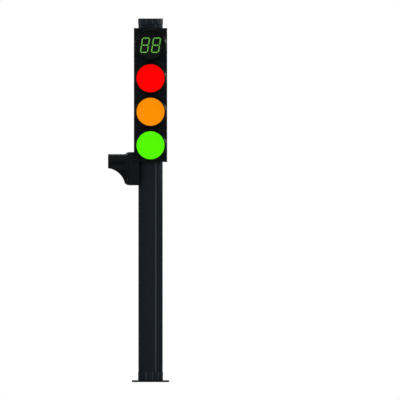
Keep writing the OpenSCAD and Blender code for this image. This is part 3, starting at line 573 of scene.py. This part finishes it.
def hood_length(height):
    """How far the hood reaches out at a height above the lens's middle. It ends on a circle in
    the upright plane through the lens's axis, with its centre CUT_DROP below that axis and
    CUT_OUT in front of the root. Above the circle it has its full length, and it never reaches
    out less than 0.4 mm."""
    inside = np.clip(CUT_R ** 2 - (height + CUT_DROP) ** 2, 0, None)
    return np.clip(CUT_OUT - np.sqrt(inside), 0.4, VISOR_LEN)


def hood(window):
    """The visor as one closed shell: round each angle runs a loop from the root along the
    outside, over the rounded edge and back along the inside. Below the start of the cut the
    angles step down by a power of 2.2, so that they crowd together where the edge falls away
    steeply."""
    start = math.asin((CUT_R - CUT_DROP) / VISOR_R)
    bend = start - 1.15 * np.linspace(0, 1, 70) ** 2.2
    low = np.linspace(bend[-1], -math.pi / 2, 18)[1:]
    right = np.concatenate([np.linspace(math.pi / 2, start, 60)[:-1], bend, low])
    angle = np.concatenate([right, math.pi - right[-2:0:-1]])
    height = VISOR_R * np.sin(angle)
    reach = hood_length(height)
    inner = VISOR_R - VISOR_WALL
    loop = [(VISOR_R, 0.0, 0.0), (VISOR_R, 0.5, 0.0)]
    loop += [(VISOR_R - EDGE_R + EDGE_R * math.sin(a), 1.0, EDGE_R * (math.cos(a) - 1))
             for a in np.radians((90, 60, 30, 0))]
    loop += [(inner + EDGE_R - EDGE_R * math.sin(a), 1.0, EDGE_R * (math.cos(a) - 1))
             for a in np.radians((0, 30, 60, 90))]
    loop += [(inner, 0.5, 0.0), (inner, 0.0, 0.0)]
    rows = [spot(window, r * np.cos(angle), r * np.sin(angle),
                 VISOR_ROOT + np.maximum(share * reach + back * np.minimum(reach / 3, 1), 0))
            for r, share, back in loop]
    return np.array(rows) * MM


# The doors' polycarbonate again, but with the mould polished, so the hood has a brighter line.
visor_moulding = coated("polished_black_polycarbonate", "#090A0C", "#0D0E10", 150, 3,
                        (0.18, 0.24), 0.03, **{"IOR": 1.585, "Specular IOR Level": 0.012})
for window in WINDOWS:
    dress(surface(window + "_hood", [hood(window)], loop=True), visor_moulding,
          window + "_window", "visor_plastic", window + "_visor")


# Lenses
# Four windows have a moulded lens, domed by 9 mm and clipped behind the door by its flange. Its
# face is a field of small square prisms, which spread the light of the lamp behind. The flange
# and the rim are painted black, so that no light leaks past the seal.

LENS_R, LENS_FRONT, LENS_RISE, LENS_SKIN = 150.0, 112.0, 9.0, 3.0
LENS_BACK, FLANGE_R, FLANGE_T = 96.0, 158.0, 3.0
PRISM, PRISM_RISE = 12.5, 0.7


def lens(window, rise, pillow_rise):
    """The clear part of a lens as one closed shell. Its front is a square grid pressed round,
    which falls with the square of the radius, and on it stands a pillow for each prism, the
    square root of the product of two arches, fading out over the last twelfth of the radius.
    Behind it, rings run in from the grid's edge along the hollow back."""
    steps = np.linspace(-1, 1, 121)
    x, y = np.meshgrid(steps, steps)
    u = LENS_R * x * np.sqrt(1 - y * y / 2)
    v = LENS_R * y * np.sqrt(1 - x * x / 2)
    far = np.hypot(u, v) / LENS_R
    pillow = np.abs(np.cos(math.pi * u / PRISM) * np.cos(math.pi * v / PRISM)) ** 0.5
    fade = np.clip((1 - far) * 12, 0, 1)
    w = LENS_FRONT + rise * (1 - far ** 2) + pillow_rise * (pillow - 1) * fade
    front = spot(window, u, v, w) * MM
    edge_u, edge_v = (np.concatenate([side[0, :-1], side[:-1, -1], side[-1, :0:-1],
                                      side[:0:-1, 0]]) for side in (u, v))
    angle = np.arctan2(edge_v, edge_u)
    rings = [(LENS_R, LENS_FRONT)]
    rings += [(LENS_R * r, LENS_FRONT - LENS_SKIN + rise * (1 - r ** 2))
              for r in np.linspace(1, 0, 9)]
    back = np.array([spot(window, r * np.cos(angle), r * np.sin(angle), w) for r, w in rings])
    return [front, back * MM]


rim = [(LENS_R, LENS_FRONT - LENS_SKIN), (LENS_R, LENS_BACK + FLANGE_T),
       (FLANGE_R, LENS_BACK + FLANGE_T), (FLANGE_R, LENS_BACK),
       (LENS_R - LENS_SKIN, LENS_BACK), (LENS_R - LENS_SKIN, LENS_FRONT - LENS_SKIN)]
# Black paint on acrylic: a dull dark ring that frames the bright face.
rim_paint = coated("black_painted_acrylic", "#08090A", "#0D0E0F", 40, 2, (0.4, 0.52), 0.05,
                   **{"IOR": 1.49, "Specular IOR Level": 0.02})
turn = np.linspace(0, 2 * math.pi, 96, endpoint=False)
for window in WINDOWS:
    ring = np.array([spot(window, r * np.cos(turn), r * np.sin(turn), w) for r, w in rim]) * MM
    dress(surface(window + "_lens_rim", [ring], loop=True), rim_paint, window + "_window",
          "seal_rubber")


def lit(name, dark, light, glow, strength, cell_mm, rough, **sockets):
    """A lit plastic: its glow is one even colour, and under it the body colour goes from dark in
    the gaps to light on each cell of a square grid, cell_mm wide, by the product of two arches
    along the piece's sideways and upward axes."""
    material, shader = surfaced(name, Roughness=rough, **sockets)
    shader.inputs["Emission Color"].default_value = linear(glow)
    shader.inputs["Emission Strength"].default_value = strength
    place = add(material, "ShaderNodeTexCoord").outputs["Object"]
    split = add(material, "ShaderNodeSeparateXYZ", sockets={"Vector": place})
    sideways = add(material, "ShaderNodeMath", {"operation": "ADD"},
                   {0: split.outputs["X"], 1: split.outputs["Y"]})
    arches = []
    for along in (sideways.outputs["Value"], split.outputs["Z"]):
        phase = add(material, "ShaderNodeMath", {"operation": "MULTIPLY"},
                    {0: along, 1: 1000 * math.pi / cell_mm})
        wave = add(material, "ShaderNodeMath", {"operation": "COSINE"},
                   {0: phase.outputs["Value"]})
        arches.append(add(material, "ShaderNodeMath", {"operation": "ABSOLUTE"},
                          {0: wave.outputs["Value"]}))
    cell = add(material, "ShaderNodeMath", {"operation": "MULTIPLY"},
               {0: arches[0].outputs["Value"], 1: arches[1].outputs["Value"]})
    tint = add(material, "ShaderNodeMix", {"data_type": "RGBA"},
               {"Factor": cell.outputs["Value"], "A": linear(dark), "B": linear(light)})
    material.node_tree.links.new(tint.outputs["Result"], shader.inputs["Base Color"])
    return material


# Moulded acrylic lenses: the signal colours burn evenly, and the prisms show only as a faint
# grid. The rear window is unlit, so its clear lens shows the dark of the can behind it.
acrylic = {"IOR": 1.49, "Specular IOR Level": 0.004}
lens_finish = {
    "red": lit("lit_red_acrylic", "#3A0000", "#8C0000", "#FA0000", 1.0, PRISM, 0.3, **acrylic),
    "amber": lit("lit_amber_acrylic", "#3C1A00", "#6E3A00", "#F48C02", 1.0, PRISM, 0.3,
                 **acrylic),
    "green": lit("lit_green_acrylic", "#0C2A00", "#1E5A00", "#52F404", 1.0, PRISM, 0.3,
                 **acrylic),
    "rear": lit("unlit_clear_acrylic", "#1B1D1E", "#2E3132", "#000000", 0.0, PRISM, 0.16,
                **{"IOR": 1.49, "Specular IOR Level": 0.12}),
}
for window, finish in lens_finish.items():
    dress(surface(window + "_prism_lens", lens(window, LENS_RISE, PRISM_RISE),
                  around=(False, True)),
          finish, window + "_window", "lens_" + window, window + "_lens")


# Display panels, digits and figures
# The countdown and the side sign have flat smoked panels instead of domed lenses. The digits
# are rows of light-emitting diodes, small domes of clear epoxy, on raised green strokes. The
# side sign shows a red standing figure and a green walking one.

# Smoked acrylic over a black board: nearly black, with a faint grid of unlit diodes.
panel_finish = lit("smoked_acrylic_panel", "#0B0F0C", "#151916", "#000000", 0.0, 10.0, 0.22,
                   **{"IOR": 1.49, "Specular IOR Level": 0.01})
for window in ("countdown", "pedestrian"):
    dress(surface(window + "_smoked_panel", lens(window, 0.0, 0.25), around=(False, True)),
          panel_finish, window + "_window", "panel_black", window + "_panel")

DIGIT_H, DIGIT_W, DIGIT_PITCH, DIGIT_DROP = 160.0, 84.0, 115.0, 4.0
STROKE_W, STROKE_GAP, SLANT = 11.0, 3.0, 9.0
LIT_T, DIODE_R, DIODE_RISE, DIODE_PITCH, DIODE_INSET = 1.5, 2.1, 0.8, 5.6, 3.5


def diodes(window, u, v, w):
    """One small dome at each (u, v): rings of ten points, whose radius and height are shares of
    the dome's own, closed at the top and resting a little inside the surface at w."""
    angle = np.linspace(0, 2 * math.pi, 10, endpoint=False)
    radius, height = np.array([(1, -0.3), (1, 0.15), (0.75, 0.6), (0.35, 0.93), (0, 1)]).T
    return list(spot(window, u[:, None, None] + DIODE_R * radius[:, None] * np.cos(angle),
                     v[:, None, None] + DIODE_R * radius[:, None] * np.sin(angle),
                     w + DIODE_RISE * height[:, None]) * MM)


def digit_strokes():
    """The ends of the seven strokes of an eight, upright, before it is leaned over."""
    x, y = DIGIT_W / 2 - STROKE_W / 2, DIGIT_H / 2 - STROKE_W / 2
    corner = [(-x, -y), (x, -y), (-x, 0), (x, 0), (-x, y), (x, y)]
    return [(np.array(corner[a]), np.array(corner[b]))
            for a, b in ((0, 1), (2, 3), (4, 5), (0, 2), (2, 4), (1, 3), (3, 5))]


diode_u, diode_v = [], []
for middle in (-DIGIT_PITCH / 2, DIGIT_PITCH / 2):
    for start, end in digit_strokes():
        length = np.hypot(*(end - start))
        along = (end - start) / length
        across = np.array([-along[1], along[0]])
        count = int((length - 2 * (STROKE_GAP + DIODE_INSET)) // DIODE_PITCH) + 1
        for side in (-DIODE_PITCH / 2, DIODE_PITCH / 2):
            share = (np.arange(count) - (count - 1) / 2) * DIODE_PITCH + length / 2
            row = start + share[:, None] * along + side * across
            diode_u.append(middle + row[:, 0] + row[:, 1] * math.tan(math.radians(SLANT)))
            diode_v.append(row[:, 1] - DIGIT_DROP)
diode_u, diode_v = np.concatenate(diode_u), np.concatenate(diode_v)
# Clear epoxy over a lit chip: the brightest green of the sign.
green_diode = lit("lit_green_diode", "#1C4010", "#2C6420", "#94F26E", 1.0, 7.4, 0.2, **acrylic)
dress(surface("countdown_diodes", diodes("countdown", diode_u, diode_v, LENS_FRONT + LIT_T)),
      green_diode, "countdown_window", "digit_green")

# Moulded acrylic: the strokes of the digits glow a little round their diodes, and the figures
# burn evenly behind a diffuser, with their diodes a faint grid in it.
sign_finish = {
    "countdown_digits": lit("glowing_green_stroke", "#0C1E08", "#173A10", "#22660F", 0.55, 7.4,
                            0.3, **acrylic),
    "standing_figure": lit("lit_red_figure", "#3A0004", "#8A000C", "#DC0616", 0.95, 6.0, 0.3,
                           **acrylic),
    "walking_figure": lit("lit_green_figure", "#103200", "#2A6A08", "#5CE418", 0.95, 6.0, 0.3,
                          **acrylic),
}
for node, finish in sign_finish.items():
    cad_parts[node].data.materials.clear()
    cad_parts[node].data.materials.append(finish)


# Lamp units, seals and door screws
# Behind each lens a sealed can holds the lamp, with a gland for its cable. A rubber ring seals
# the lens, a rubber frame seals the door, and two knobs screw the door to its housing.

# Moulded polyamide can: dark grey, with a fine even grain.
can_moulding = coated("moulded_grey_can", "#26282A", "#303335", 60, 2, (0.4, 0.52), 0.08,
                      **{"IOR": 1.53, "Specular IOR Level": 0.35})
for window in WINDOWS:
    node = window + "_lamp_unit"
    dress(eased(node, 0.8), can_moulding, window + "_window", "lamp_plastic", node)
    node = window + "_seals"
    dress(eased(node, 0.25), rubber, window + "_window", "seal_rubber", node)

DOOR_FRONT, SCREW_POS, SCREW_R, KNOB_R, KNOB_H = 110.0, 152.0, 3.0, 7.0, 4.0
knob = [(0, -19), (SCREW_R - 0.6, -19), (SCREW_R, -18.2), (SCREW_R, 0), (KNOB_R - 0.4, 0),
        (KNOB_R, 0.5), (KNOB_R, 2.8), (KNOB_R - 0.5, 3.5), (KNOB_R - 1.5, KNOB_H),
        (3.4, KNOB_H), (-2.9, KNOB_H), (-2.8, KNOB_H - 0.2), (-2.8, 1.6), (0, 1.5)]
for window in WINDOWS:
    places = [(spot(window, -SCREW_POS, v, DOOR_FRONT), *axes(window))
              for v in (-SCREW_POS, SCREW_POS)]
    dress(surface(window + "_door_knobs", turned(places, knob, facets=36, sides=6)),
          screw_steel, window + "_window", "screw_steel", window + "_door_screws")


# The photograph's view
# A level camera far in front, with no perspective, sees the pole at the left of a white frame.
# The key light stands in front, a little to the right, with weaker lights all round. A
# spotlight at each side draws a tick on the cone of each door and a line along each hood.

VIEW_WIDTH, VIEW_X, VIEW_Z, VIEW_AWAY, VIEW_REACH = 4.18, 0.517, 1.903, 12, 60
camera = placed("camera", bpy.data.cameras.new("camera"))
camera.data.type = "ORTHO"
camera.data.ortho_scale = VIEW_WIDTH
camera.data.clip_end = VIEW_REACH
camera.location = (VIEW_X, -VIEW_AWAY, VIEW_Z)
camera.rotation_euler = (math.pi / 2, 0, 0)
bpy.context.scene.camera = camera

# Each light: how far round to the right of the camera it stands, how high, its strength, and
# how wide it looks, in degrees.
LIGHTS = {"key": (12, 6, 2.0, 50), "overhead": (0, 84, 0.8, 40),
          "left_fill": (-80, 15, 0.3, 40), "right_fill": (100, 15, 0.3, 40),
          "back_fill": (-165, 20, 1.0, 45)}
for name, (round_right, height, strength, width) in LIGHTS.items():
    sun = bpy.data.lights.new(name, "SUN")
    sun.energy = strength
    sun.angle = math.radians(width)
    placed(name, sun).rotation_euler = (math.radians(90 - height), 0, math.radians(round_right))

# Both spotlights aim at the heads, and each has its own place and power.
SPOT_AIM, SPOT_WIDTH, SPOT_BLEND, SPOT_SIZE = (0, -0.15, 3.05), 9, 0.2, 0.3
SPOTS = {"right_spot": ((12.0, 3.2, 6.4), 16000), "left_spot": ((-12.0, 0.3, 4.6), 5000)}
for name, (place, watts) in SPOTS.items():
    spotlight = bpy.data.lights.new(name, "SPOT")
    spotlight.energy, spotlight.shadow_soft_size = watts, SPOT_SIZE
    spotlight.spot_size, spotlight.spot_blend = math.radians(SPOT_WIDTH), SPOT_BLEND
    lamp = placed(name, spotlight)
    lamp.location = place
    aim = mathutils.Vector(SPOT_AIM) - lamp.location
    lamp.rotation_euler = aim.to_track_quat("-Z", "Y").to_euler()

# The camera, mirrors and glass see plain white, and the object is lit by less.
WORLD_LEVEL = 0.4
world = bpy.data.worlds.new("studio")
bpy.context.scene.world = world
world.use_nodes = True
world.node_tree.nodes.clear()
rays = add(world, "ShaderNodeLightPath").outputs
seen = add(world, "ShaderNodeMath", {"operation": "MAXIMUM"},
           {0: rays["Is Camera Ray"], 1: rays["Is Glossy Ray"]})
seen = add(world, "ShaderNodeMath", {"operation": "MAXIMUM"},
           {0: seen.outputs["Value"], 1: rays["Is Transmission Ray"]})
level = add(world, "ShaderNodeMapRange",
            sockets={"Value": seen.outputs["Value"], "To Min": WORLD_LEVEL})
white = add(world, "ShaderNodeBackground",
            sockets={"Color": (1, 1, 1, 1), "Strength": level.outputs["Result"]})
add(world, "ShaderNodeOutputWorld", sockets={"Surface": white.outputs["Background"]})

# A plain white floor, wide enough for every view. It looks whiter to the camera than it lights
# the object, and keeps the object's shadow.
FLOOR_HALF, FLOOR_GLOW = 30.0, 0.2
floor = surface("floor", [np.array([[(-FLOOR_HALF, -FLOOR_HALF, 0), (FLOOR_HALF, -FLOOR_HALF, 0)],
                                    [(-FLOOR_HALF, FLOOR_HALF, 0), (FLOOR_HALF, FLOOR_HALF, 0)]])],
                around=False)
floor_white, paint = surfaced("white_floor", Roughness=0.9,
                              **{"Base Color": linear("#F6F6F6"), "Specular IOR Level": 0.0})
floor.data.materials.append(floor_white)
seen = add(floor_white, "ShaderNodeMath", {"operation": "MULTIPLY"},
           {0: add(floor_white, "ShaderNodeLightPath").outputs["Is Camera Ray"], 1: FLOOR_GLOW})
glow = add(floor_white, "ShaderNodeEmission", sockets={"Strength": seen.outputs["Value"]})
both = add(floor_white, "ShaderNodeAddShader",
           sockets={0: paint.outputs["BSDF"], 1: glow.outputs["Emission"]})
output = next(n for n in floor_white.node_tree.nodes if n.type == "OUTPUT_MATERIAL")
floor_white.node_tree.links.new(both.outputs["Shader"], output.inputs["Surface"])

bpy.context.scene.view_settings.view_transform = "Standard"
